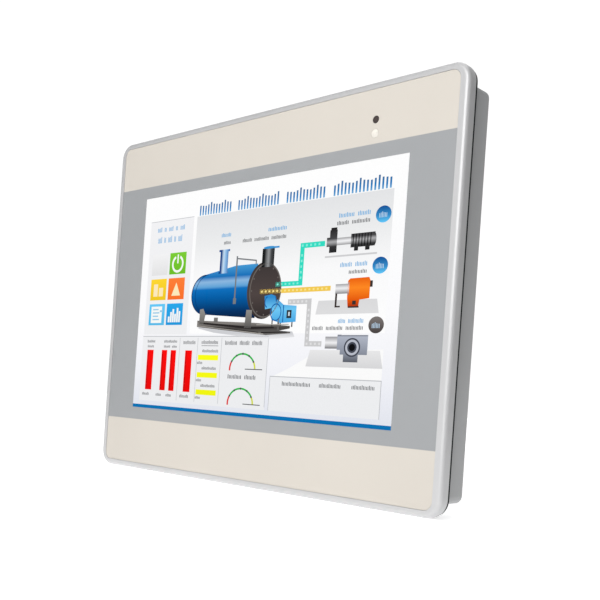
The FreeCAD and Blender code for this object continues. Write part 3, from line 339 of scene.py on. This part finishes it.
class Picture:
    """Thin coloured shapes of one ink, in mm across and up the screen.

    Layer 0 is the screen's white ground, and each next layer covers the ones before it.
    """

    def __init__(self, name, paint, layer):
        self.name = "picture_" + name
        self.paint = paint
        self.front = FACE - LAYER * (layer + 1)
        self.thick = LAYER * (layer + 1)
        self.bm = bmesh.new()

    def _place(self, x, z, half_x, half_z):
        """Lays a flat unit shape upright on the screen at its place and size."""
        turn = Matrix.Rotation(math.radians(90), 4, "X")
        return Matrix.Translation((x, 0, z)) @ turn @ Matrix.Diagonal((half_x, half_z, 1, 1))

    def bar(self, x_low, x_high, z_low, z_high):
        """An upright rectangle."""
        where = self._place((x_low + x_high) / 2, (z_low + z_high) / 2,
                            (x_high - x_low) / 2, (z_high - z_low) / 2)
        bmesh.ops.create_grid(self.bm, x_segments=1, y_segments=1, size=1, matrix=where)
        return self

    def disc(self, x, z, half_x, half_z=None, sides=40):
        """A filled circle or oval."""
        where = self._place(x, z, half_x, half_z or half_x)
        bmesh.ops.create_circle(self.bm, cap_ends=True, segments=sides, radius=1, matrix=where)
        return self

    def shape(self, *points):
        """A filled outline."""
        self.bm.faces.new([self.bm.verts.new((x, 0, z)) for x, z in points])
        return self

    def arc(self, x, z, half_x, half_z, width, start, stop, steps=24):
        """Part of an oval ring, from start to stop degrees, anticlockwise from the right."""
        inner = self.bm.verts.new((1 - width / half_x, 0, 0))
        outer = self.bm.verts.new((1, 0, 0))
        edge = self.bm.edges.new((inner, outer))
        turn = Matrix.Rotation(-math.radians(start), 3, "Y")
        bmesh.ops.rotate(self.bm, verts=[inner, outer], cent=(0, 0, 0), matrix=turn)
        full = abs(stop - start) >= 360
        made = bmesh.ops.spin(self.bm, geom=[edge], cent=(0, 0, 0), axis=(0, -1, 0), steps=steps,
                              angle=math.radians(stop - start), use_merge=full)
        faces = {face for item in made["geom_last"] for face in item.link_faces} | set(edge.link_faces)
        grown = set(faces)
        while grown:
            near = {other for face in grown for side in face.edges for other in side.link_faces}
            grown = near - faces
            faces |= grown
        verts = list({vert for face in faces for vert in face.verts})
        bmesh.ops.scale(self.bm, vec=(half_x, 1, half_z), verts=verts)
        bmesh.ops.translate(self.bm, vec=(x, 0, z), verts=verts)
        return self

    def done(self):
        """Gives the flat shapes their thickness and puts them on the screen."""
        self.bm.normal_update()
        for face in self.bm.faces:
            if face.normal.y > 0:
                face.normal_flip()
        bmesh.ops.translate(self.bm, vec=(0, self.front, 0), verts=self.bm.verts)
        bmesh.ops.solidify(self.bm, geom=self.bm.faces[:], thickness=self.thick)
        bmesh.ops.recalc_face_normals(self.bm, faces=self.bm.faces)
        bmesh.ops.scale(self.bm, vec=(MM, MM, MM), verts=self.bm.verts)
        mesh = bpy.data.meshes.new(self.name)
        self.bm.to_mesh(mesh)
        self.bm.free()
        mesh.materials.append(self.paint)
        piece = bpy.data.objects.new(self.name, mesh)
        bpy.context.scene.collection.objects.link(piece)
        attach(piece, BODY)


def marks(picture, x_low, x_high, foot, height, words):
    """Upright ticks of uneven height that fill a line of writing without spelling anything.

    words holds the number of letters in each word, and each letter's place gets two ticks.
    """
    places = sum(words) + len(words) - 1
    pitch = (x_high - x_low) / places
    x = x_low
    for word in words:
        for index in range(2 * word):
            tall = height * TICK_HEIGHTS[(index + word) % len(TICK_HEIGHTS)]
            picture.bar(x, x + TICK_WIDE * pitch, foot, foot + tall)
            x += pitch / 2
        x += pitch
    return picture


def screen_ground():
    """White ground with its grey fields, thin dividing lines and the blue bar along the foot."""
    ground = ink("ground", [(-SCREEN_Z, (226, 229, 238)), (-45, (240, 241, 247)), (-10, (252, 252, 254)),
                            (SCREEN_Z, (255, 255, 255))])
    Picture("ground", ground, 0).bar(-SCREEN_X, SCREEN_X, -SCREEN_Z, SCREEN_Z).done()
    sky = ink("backdrop", [(-20, (255, 255, 255)), (14, (250, 250, 251)), (34, (236, 237, 238)),
                           (51, (228, 229, 231))])
    Picture("backdrop", sky, 1).bar(-52, 96.5, -20, 51).done()
    panel = ink("side_panel", [(-62, (237, 238, 240)), (51, (243, 243, 245))])
    panels = Picture("side_panels", panel, 2)
    panels.bar(-97.5, -55, -20.5, 51.5).bar(-98, 16.5, -62.5, -21.8).bar(19.6, 96.6, -62.5, -43.6)
    panels.done()
    half_line = 0.18
    lines = Picture("panel_lines", flat("panel_line", (196, 198, 202)), 3)
    lines.bar(19.6, 96.6, -43.9, -43.4).bar(96.3, 96.7, -62.5, -43.4).bar(19.3, 19.7, -62.5, -43.4)
    lines.bar(-98, 16.5, -21.9, -21.4).bar(-97.5, -55, 51.2, 51.6)
    for x in (-60.5, -43.6, -22.2, 16.4):
        lines.bar(x - half_line, x + half_line, -61, -22.5)
    lines.done()
    glare = Picture("glare", flat("glare", (255, 255, 255)), 1)
    glare.shape((22, -43.4), (34, -38.6), (52, -30), (96.5, -28), (96.5, -43.4)).done()
    foot_bar = Picture("foot_bar", flat("foot_bar", (0, 118, 184)), 4)
    foot_bar.bar(-SCREEN_X, SCREEN_X, -SCREEN_Z, -65.1).done()


def writing():
    """Ticks for the title and for the small lines; each row is left, right, foot, height and words."""
    title = ink("title", [(51, (120, 178, 220)), (54, (34, 124, 190)), (58, (70, 112, 158))])
    marks(Picture("title", title, 3), -50, 96, 51.4, 6.1, (6, 7, 6, 8)).done()
    blue = flat("pale_writing", (96, 172, 224))
    notes = Picture("blue_notes", blue, 3)
    blue_lines = (
        (-90, -63, 44.4, 2.6, (2, 1, 2, 1, 2)), (-89, -65, 37.4, 3.4, (2, 1, 2, 1, 2)),
        (-28.5, -20, 36.6, 1.9, (4,)), (10.5, 25, 36.9, 1.9, (6,)), (62, 83, 39.6, 2.0, (5, 4)),
        (65, 83, 13.9, 2.0, (4, 4)), (66, 83, -14.9, 2.0, (3, 6)),
    )
    for line in blue_lines:
        marks(notes, *line)
    notes.done()
    dark = flat("grey_writing", (92, 94, 98))
    values = Picture("grey_notes", dark, 3)
    grey_lines = (
        (-26, -20, 32.2, 1.7, (3,)), (-10, 25, 32.2, 1.8, (4, 6, 6)), (61, 83, 35.8, 1.8, (4, 6)),
        (71, 83, 10.2, 1.7, (6,)), (48.5, 83, -18.4, 1.8, (4, 6, 6)), (29, 50, -48.4, 1.9, (10,)),
        (56, 71, -48.4, 1.9, (8,)), (78, 93, -48.4, 1.9, (8,)), (-19, 12, -26.6, 2.1, (5, 4, 4)),
        (-15, 8.5, -46.0, 2.1, (5, 4)), (-93, -85, -25.6, 1.5, (5,)), (-92.5, -86, -28.7, 1.3, (4,)),
        (-76, -63, -25.6, 1.5, (8,)), (-76, -63, -28.7, 1.3, (4, 3)), (-57, -45.5, -26.4, 1.9, (6,)),
        (-40, -25, -26.2, 1.8, (8,)), (-39, -24.5, -31.2, 1.5, (9,)), (-38.5, -25.5, -41.4, 1.5, (8,)),
        (-38.5, -25.5, -51.8, 1.5, (8,)), (-43, -38, -38.2, 1.4, (3,)), (-43, -38, -48.6, 1.4, (3,)),
        (-43, -38, -59, 1.4, (3,)), (-95, -88, -59, 1.5, (4,)), (-81, -75.5, -59, 1.5, (3,)),
        (-71, -65.5, -59, 1.5, (3,)), (-57.5, -49, -59, 1.6, (4,)),
    )
    for line in grey_lines:
        marks(values, *line)
    values.bar(-40, -25, -27.4, -27.1)
    values.done()


def tiles():
    """Six coloured tiles at the left with plain signs on them."""
    side_x, side_z = 15.8, 13.4
    tile = {"grey": ((-93.5, 17), (228, 228, 229)), "green": ((-75.8, 17), (108, 190, 36)),
            "yellow": ((-93.5, 1.2), (240, 200, 32)), "orange": ((-75.8, 1.2), (250, 112, 40)),
            "cyan": ((-93.5, -14.6), (84, 186, 232)), "blue": ((-75.8, -14.6), (24, 152, 220))}
    for name, ((x, z), rgb) in tile.items():
        light = tuple(min(255, value + 16) for value in rgb)
        paint = ink("tile_" + name, [(z, rgb), (z + side_z, light)])
        Picture("tile_" + name, paint, 4).bar(x, x + side_x, z, z + side_z).done()
    white = flat("white_sign", (250, 252, 250))
    signs = Picture("white_signs", white, 5)
    signs.arc(-67.9, 23.3, 5.6, 5.4, 1.5, 115, 425, 40).bar(-68.5, -67.3, 23.6, 29.2)
    signs.bar(-91.3, -80.5, -13.2, -2.8)
    column_wide, column_pitch, column_foot = 1.6, 2.05, -12.9
    for index, height in enumerate((3.6, 6.4, 8.2, 5.2, 8.8, 6.8)):
        x = -74 + index * column_pitch
        signs.bar(x, x + column_wide, column_foot, column_foot + height)
    signs.done()
    pale = flat("pale_sign", (255, 236, 190))
    peaks = Picture("pale_signs", pale, 5)
    peaks.shape((-90.4, 3.6), (-86.2, 3.6), (-86.2, 11.4), (-90.4, 11.4))
    peaks.shape((-85, 3.6), (-80.8, 3.6), (-80.8, 9), (-85, 9))
    peaks.shape((-72.2, 3.6), (-63.6, 3.6), (-67.9, 11.8))
    peaks.done()
    row_tall, row_pitch = 0.8, 2.1
    rows = Picture("page_rows", flat("page_row", (150, 204, 234)), 6)
    for index in range(4):
        foot = -11.4 + index * row_pitch
        rows.bar(-89.6, -83 - index % 2, foot, foot + row_tall)
    rows.bar(-82.6, -79.4, -6.4, -5.2)
    rows.done()


def charts():
    """Four red columns, three yellow levels and two half-round dials along the foot."""
    red = ink("red_bar", [(-56, (232, 0, 0)), (-30, (255, 6, 6))])
    bars = Picture("red_bars", red, 4)
    edges = Picture("bar_edges", flat("bar_edge", (120, 20, 24)), 5)
    for low, high in ((-92.6, -86.2), (-77.8, -72.4), (-68.9, -63.7), (-54.8, -48.4)):
        bars.bar(low, high, -55.4, -30.2)
        edges.bar(low + 0.9, low + 1.3, -54.6, -31)
    bars.done()
    edges.done()
    yellow = ink("yellow_bar", [(-57, (240, 244, 8)), (-32, (252, 255, 20))])
    levels = Picture("yellow_bars", yellow, 4)
    for top in (-32.7, -43.1, -53.4):
        levels.bar(-42.6, -24.4, top - 3.1, top)
    levels.done()
    dial_x, dial_feet = -3.4, (-40.4, -60.2)
    sectors = {"low": (150, 186, (226, 60, 60)), "good": (28, 150, (60, 186, 84)),
               "high": (0, 28, (214, 222, 70))}
    for name, (start, stop, rgb) in sectors.items():
        dial = Picture("dial_" + name, flat("dial_" + name, rgb), 4)
        for foot in dial_feet:
            dial.arc(dial_x, foot, 11, 9.3, 1.2, start, stop)
        dial.done()
    needles = Picture("needles", flat("needle", (84, 86, 90)), 5)
    for foot in dial_feet:
        needles.bar(-1, 13, foot - 0.1, foot + 0.4)
        for angle in map(math.radians, (30, 60, 90, 120, 150)):
            needles.disc(dial_x + 10.4 * math.cos(angle), foot + 8.8 * math.sin(angle), 0.65, 0.65, 10)
    needles.done()


def pipes():
    """Three pipes with pale dashes of flow; each stretch is left, right, foot and top."""
    pitch, dash, inset, first = 3, 1.3, (0.9, 0.8), 0.9
    runs = {
        "teal": ((52, 222, 196), (138, 240, 222),
                 ((19, 39, 5.6, 8.2), (36, 39, 8.2, 25.6), (36, 53.4, 25.6, 28.4))),
        "yellow": ((246, 206, 84), (255, 232, 150), ((7, 59.4, 2, 4.6),)),
        "grey": ((206, 206, 207), (228, 228, 229),
                 ((29.4, 46.6, -4.4, -1.6), (43.6, 46.6, -24.2, -4.4), (43.6, 55.6, -27, -24.2))),
    }
    for name, (rgb, light, stretches) in runs.items():
        pipe = Picture("pipe_" + name, flat("pipe_" + name, rgb), 5)
        dashes = Picture("flow_" + name, flat("flow_" + name, light), 6)
        for x_low, x_high, z_low, z_high in stretches:
            pipe.bar(x_low, x_high, z_low, z_high)
            along_x = x_high - x_low > z_high - z_low
            length = max(x_high - x_low, z_high - z_low)
            for index in range(int(length / pitch)):
                start = first + index * pitch
                if along_x:
                    dashes.bar(x_low + start, x_low + start + dash, z_low + inset[1], z_high - inset[1])
                else:
                    dashes.bar(x_low + inset[0], x_high - inset[0], z_low + start, z_low + start + dash)
        pipe.done()
        dashes.done()


def boiler_tank():
    """Blue tank with its hoops, dark front plate and rim of bolts."""
    shell = ink("boiler_shell", [(-12, (2, 22, 52)), (-7, (0, 48, 98)), (1, (0, 92, 164)),
                                 (6.2, (10, 112, 190)), (7.6, (96, 164, 216)), (10.6, (140, 184, 224)),
                                 (13.4, (22, 112, 186)), (19.5, (70, 156, 214))])
    tank = Picture("boiler_tank", shell, 4)
    tank.shape((-38, -8.8), (4, -11.4), (4, 19.4), (-14, 19.2), (-40, 15.2))
    tank.arc(-40, 3.2, 12.6, 12, 12.59, 90, 270, 24)
    tank.shape((-40, -8.8), (-38, -8.8), (-38, 15.4), (-40, 15.2))
    tank.done()
    hoops = Picture("boiler_hoops", flat("boiler_hoop", (2, 52, 104)), 5)
    hoops.arc(-40, 3.2, 12.6, 12, 0.7, 90, 270, 24).arc(-36.6, 3.1, 12.6, 12.2, 0.35, 96, 264, 24)
    hoops.done()
    front = ink("boiler_front", [(-12, (48, 42, 42)), (2, (78, 68, 66)), (20, (60, 54, 54))])
    Picture("boiler_front", front, 5).disc(9.6, 4, 13.2, 16, 56).done()
    rim = Picture("boiler_rim", flat("boiler_rim", (110, 104, 100)), 6)
    rim.arc(11, 4, 12.6, 15.4, 0.7, 0, 360, 48)
    for angle in map(math.radians, range(0, 360, 30)):
        rim.disc(11 + 10.9 * math.cos(angle), 4 + 13.6 * math.sin(angle), 0.45, 0.5, 8)
    rim.done()


def boiler_top():
    """Chimney, outlet, round duct and gauge rods above the tank."""
    stack = ink("stack", [(6.6, (8, 10, 12)), (9, (30, 32, 34)), (12, (150, 152, 154)),
                          (14, (70, 72, 74)), (16.8, (20, 22, 24))], "X")
    Picture("stack", stack, 6).bar(7, 16.4, 17, 27.4).done()
    outlet = Picture("outlet", flat("outlet", (60, 150, 214)), 6)
    outlet.bar(8, 20, 27.2, 28.2).disc(12.5, 27.8, 4.6, 0.8).done()
    tube = ink("duct", [(-29.5, (20, 78, 150)), (-27.4, (10, 60, 130)), (-25.4, (196, 222, 244)),
                        (-23.6, (140, 186, 230)), (-20.5, (30, 96, 170))], "X")
    duct = Picture("duct", tube, 6)
    duct.bar(-28.4, -21.6, 15.4, 28.4).bar(-29.6, -20.4, 28, 29.2).bar(-29.2, -20.8, 15.2, 16.2).done()
    rods = Picture("gauge_rods", flat("gauge_rod", (122, 126, 130)), 7)
    rods.bar(-14.2, -13.1, 0, 24.6).shape((-13.4, 22.8), (2.6, 20.8), (2.6, 21.6), (-13.4, 23.6))
    rods.bar(2, 2.7, 18.8, 21.4).bar(-14.8, -12.4, -3, 0.4)
    rods.done()


def skid():
    """Steel frame under the tank, with its gaps, edges, legs and shadow."""
    steel = ink("skid", [(-21, (112, 110, 108)), (-17, (66, 62, 60)), (-14, (134, 130, 126)),
                         (-11.4, (84, 80, 76))])
    beams = Picture("skid", steel, 5)
    beams.shape((-45.4, -16), (14, -21), (32.6, -20), (32.6, -19.2), (24, -18.6), (32, -17.4), (32, -16),
                (4, -14), (-45.4, -12.2))
    beams.done()
    dark = Picture("skid_gaps", flat("skid_gap", (44, 40, 40)), 6)
    dark.shape((-43, -14.2), (2, -17.6), (20, -17.2), (20, -16.4), (2, -16.2), (-43, -13.2))
    dark.shape((-30, -16.9), (8, -20), (8, -19.2), (-30, -16.2))
    dark.shape((10, -20), (30, -19.6), (30, -19), (10, -19.2))
    dark.done()
    light = Picture("skid_edges", flat("skid_edge", (170, 166, 160)), 7)
    light.shape((-45, -15.6), (12, -20.6), (12, -20.1), (-45, -15.2)).bar(6, 31, -15.4, -14.9)
    light.done()
    shadow = Picture("skid_shadow", ink("skid_shadow", [(-24, (248, 248, 250)), (-20, (206, 207, 211))]), 3)
    shadow.shape((-44, -17), (-30, -19.5), (14, -23.6), (36, -22), (34, -19), (-44, -15)).done()
    legs = ink("legs", [(-16, (96, 94, 92)), (-5, (150, 148, 144))])
    supports = Picture("supports", legs, 6)
    supports.shape((-43.6, -14.4), (-39.6, -14.6), (-38.4, -8.4), (-40.6, -5.2), (-43.6, -5.6))
    supports.shape((-4, -16.8), (1.6, -17.2), (1.6, -6.8), (-3, -6.6)).bar(22.4, 23.8, -18.4, -12)
    supports.bar(-30.4, -27, -13.4, -10.6)
    supports.done()


def burner():
    """Pale blue burner on its stand, with its window."""
    hood = ink("burner", [(-14, (72, 168, 228)), (-7, (110, 200, 246)), (0, (46, 140, 208))])
    body = Picture("burner", hood, 6)
    body.shape((11, 0.8), (16.4, 1.6), (19.6, 0.6), (20.6, -5.6), (12, -6.6))
    body.shape((17.4, -5), (21.6, -1.4), (26.2, -4.4), (36, -5.2), (36, -13.8), (24.6, -14.4),
               (17.6, -12.6))
    body.done()
    edges = Picture("burner_edges", flat("burner_edge", (24, 104, 176)), 7)
    edges.arc(20.6, -8.4, 4.3, 4.9, 0.6, 0, 360, 28).shape((26, -4.6), (26.7, -4.6), (26.7, -14), (26, -14))
    edges.shape((19.4, 0.4), (20, 0.4), (20.9, -2.6), (20.2, -2.6))
    edges.arc(13.4, -2.6, 2, 3.2, 0.5, 90, 270, 12)
    edges.done()
    Picture("burner_window", flat("burner_window", (44, 48, 56)), 7).bar(29, 32.6, -11.8, -7.4).done()
    Picture("burner_knob", flat("burner_knob", (206, 222, 232)), 8).bar(30.2, 31.4, -10.6, -8.4).done()
    stand = Picture("burner_stand", flat("burner_stand", (40, 40, 42)), 5)
    stand.bar(24.2, 25, -17.8, -14).bar(33, 33.8, -16.6, -13.6).bar(17.8, 18.6, -16.8, -12.4)
    stand.done()


def water_pump():
    """The plinths of all three machines, and the black pump at the top with its motor."""
    floor = ink("plinth", [(-38, (214, 214, 216)), (-29, (232, 232, 233)), (20, (206, 206, 208))])
    bases = Picture("plinths", floor, 4)
    bases.bar(54, 88.4, 19.3, 20.2).shape((50, -10.2), (92, -10.2), (90.4, -3), (51.6, -3))
    bases.shape((45.4, -37.6), (96.6, -37.6), (94.4, -28.8), (48, -28.8))
    bases.done()
    steel = ink("dark_steel", [(21, (24, 24, 26)), (25, (52, 52, 54)), (27.4, (172, 172, 174)),
                               (29, (70, 70, 72)), (34.6, (34, 32, 32))])
    pump = Picture("water_pump", steel, 5)
    pump.bar(56.6, 61.6, 21.8, 33.6).bar(57.2, 61.2, 33.6, 34.8).bar(54.6, 56.6, 25, 29.8)
    pump.bar(71, 86.6, 23.6, 30.6).bar(73.4, 76, 21.8, 23.6).bar(80.6, 83.4, 21.8, 23.6)
    pump.disc(86.2, 27, 1.2, 3.2)
    pump.done()
    shaft = ink("bright_steel", [(25, (120, 120, 122)), (27.4, (246, 246, 248)), (29.4, (140, 140, 142))])
    Picture("pump_shaft", shaft, 5).bar(61.6, 71, 25.4, 29.2).done()
    rib_wide, rib_pitch = 0.6, 1.9
    ribs = Picture("motor_ribs", flat("motor_rib", (20, 20, 22)), 6)
    for index in range(7):
        x = 72.2 + index * rib_pitch
        ribs.bar(x, x + rib_wide, 23.9, 30.3)
    ribs.done()


def fuel_pump():
    """The orange pump in the middle with its bright nozzle."""
    orange = ink("orange_motor", [(-7, (168, 40, 12)), (-3, (232, 92, 8)), (3, (255, 136, 32)),
                                  (8, (236, 96, 10))])
    motor = Picture("fuel_pump", orange, 5)
    motor.shape((71, 6.6), (72.4, 7.8), (84.6, 8), (85.4, 6.6), (85.4, -2.6), (79.2, -3.2), (78.6, -7),
                (71.8, -7), (71, -2))
    motor.done()
    detail = Picture("fuel_pump_detail", flat("pump_shadow", (60, 52, 50)), 6)
    detail.bar(63, 64.2, -6.6, 0.4).bar(63, 66.6, -6.8, -6).bar(72, 79, -7.2, -6.4).bar(85.4, 87, 3, 6.2)
    detail.bar(74.6, 77, -5.6, -3.6)
    detail.done()
    nozzle = ink("nozzle", [(0, (120, 120, 124)), (3, (240, 240, 242)), (5.4, (150, 150, 154))])
    Picture("fuel_nozzle", nozzle, 5).bar(62.8, 71, 0.2, 5.2).bar(71, 72, -0.6, 6).done()


def blower():
    """The grey blower at the bottom with its round inlet."""
    casing = ink("blower_casing", [(-35, (84, 88, 98)), (-30, (140, 146, 160)), (-22, (176, 182, 196)),
                                   (-20.8, (96, 100, 112))])
    body = Picture("blower", casing, 5)
    body.bar(68.6, 86.4, -31, -21).bar(71, 80.6, -34.8, -31).bar(66.4, 69, -28.6, -20.8)
    body.done()
    bright = ink("blower_nozzle", [(-28, (110, 110, 114)), (-25, (240, 240, 242)),
                                   (-21.8, (150, 150, 154))])
    Picture("blower_nozzle", bright, 5).bar(58.2, 66.4, -28, -21.8).done()
    inlet = (76.5, -27.3)
    Picture("blower_ring", flat("blower_ring", (70, 74, 86)), 6).disc(*inlet, 5.3, 4.8).done()
    mouth = Picture("blower_inlet", flat("blower_inlet", (188, 192, 204)), 7)
    mouth.arc(*inlet, 4.4, 4, 1.3, 0, 360, 32).done()
    Picture("blower_eye", flat("blower_eye", (14, 14, 18)), 7).disc(*inlet, 2, 1.8).done()


def round_buttons():
    """A round button beside each machine, with ticks for its word: two blue and one grey."""
    button_x, half_x, half_z = 90.9, 4.8, 4.2
    blue = ((10, 78, 150), (96, 200, 250))
    rows = {"on_upper": (38.8, *blue), "on_lower": (13.5, *blue), "off": (-16, (126, 120, 118), (66, 60, 60))}
    for name, (z, top, foot) in rows.items():
        middle = tuple((a + b) // 2 for a, b in zip(top, foot))
        paint = ink("button_" + name, [(z - half_z, foot), (z - 0.6, middle), (z + half_z, top)])
        Picture("button_" + name, paint, 5).disc(button_x, z, half_x, half_z, 48).done()
        sign = Picture("button_sign_" + name, flat("button_sign_" + name, (190, 216, 238)), 6)
        marks(sign, 88.3, 93.6, z - 1.6, 2.4, (3,)).done()


# ------------------------------------------------------------------ stage
def stage_sheet(name, half, where, glow, greys):
    """Large square sheet of the studio, which may glow a little."""
    mesh = bpy.data.meshes.new(name)
    bm = bmesh.new()
    bmesh.ops.create_grid(bm, x_segments=1, y_segments=1, size=half, matrix=where)
    bm.to_mesh(mesh)
    bm.free()
    sheet = bpy.data.objects.new(name, mesh)
    bpy.context.scene.collection.objects.link(sheet)
    material, tree, shader, place = new_material(name + "_paper")
    dark, light = [linear(grey, grey, grey) for grey in greys]
    tint = patches(tree, noise(tree, place, PAPER_SCALE, 2.0), dark, light)
    tree.links.new(tint, shader.inputs["Base Color"])
    shader.inputs["Roughness"].default_value = 0.7
    shader.inputs["Emission Color"].default_value = (1, 1, 1, 1)
    shader.inputs["Emission Strength"].default_value = glow
    mesh.materials.append(material)
    return sheet


def floor_and_cards():
    """Pale floor, and dark cards at the sides that only the gloss shows."""
    level = cad_low.z - FLOOR_DROP
    stage_sheet("floor", FLOOR_HALF, Matrix.Translation((0, 0, level)), FLOOR_GLOW, FLOOR_GREYS)
    upright = Matrix.Rotation(math.radians(90), 4, "Y")
    for name, (x, y, half) in CARDS.items():
        card = stage_sheet(name, half, Matrix.Translation((x, y, level + half)) @ upright, 0, CARD_GREYS)
        card.visible_camera = False


def surround():
    """White surround that looks brighter than it lights."""
    world = bpy.data.worlds.new("studio")
    world.use_nodes = True
    sky = world.node_tree.nodes["Background"]
    sky.inputs["Color"].default_value = (1, 1, 1, 1)
    path = world.node_tree.nodes.new("ShaderNodeLightPath")
    glow = spread(world.node_tree, path.outputs["Is Camera Ray"], WORLD_LIGHT, WORLD_SEEN)
    world.node_tree.links.new(glow, sky.inputs["Strength"])
    bpy.context.scene.world = world
    bpy.context.scene.view_settings.view_transform = "Standard"


def lamps():
    """Soft area lamps that face the middle of the panel."""
    for name, (place, size, power) in LAMPS.items():
        light = bpy.data.lights.new(name, "AREA")
        light.shape = "RECTANGLE"
        light.size, light.size_y = size
        light.energy = power
        lamp = bpy.data.objects.new(name, light)
        lamp.location = place
        lamp.rotation_euler = (-Vector(place)).to_track_quat("-Z", "Y").to_euler()
        bpy.context.scene.collection.objects.link(lamp)


def camera():
    """The main view."""
    data = bpy.data.cameras.new("camera")
    data.sensor_width = CAMERA_SENSOR
    data.lens = CAMERA_LENS
    data.shift_y = CAMERA_SHIFT
    eye = bpy.data.objects.new("camera", data)
    basis = Matrix((CAMERA_RIGHT, CAMERA_UP, CAMERA_RIGHT.cross(CAMERA_UP))).transposed()
    x, y, z = CAMERA_PLACE
    eye.matrix_world = Matrix.Translation((x, y + film_low.y, z)) @ basis.to_4x4()
    bpy.context.scene.collection.objects.link(eye)
    bpy.context.scene.camera = eye


camera()
floor_and_cards()
surround()
lamps()
finish_nodes()
screen_ground()
writing()
tiles()
charts()
pipes()
boiler_tank()
boiler_top()
skid()
burner()
water_pump()
fuel_pump()
blower()
round_buttons()
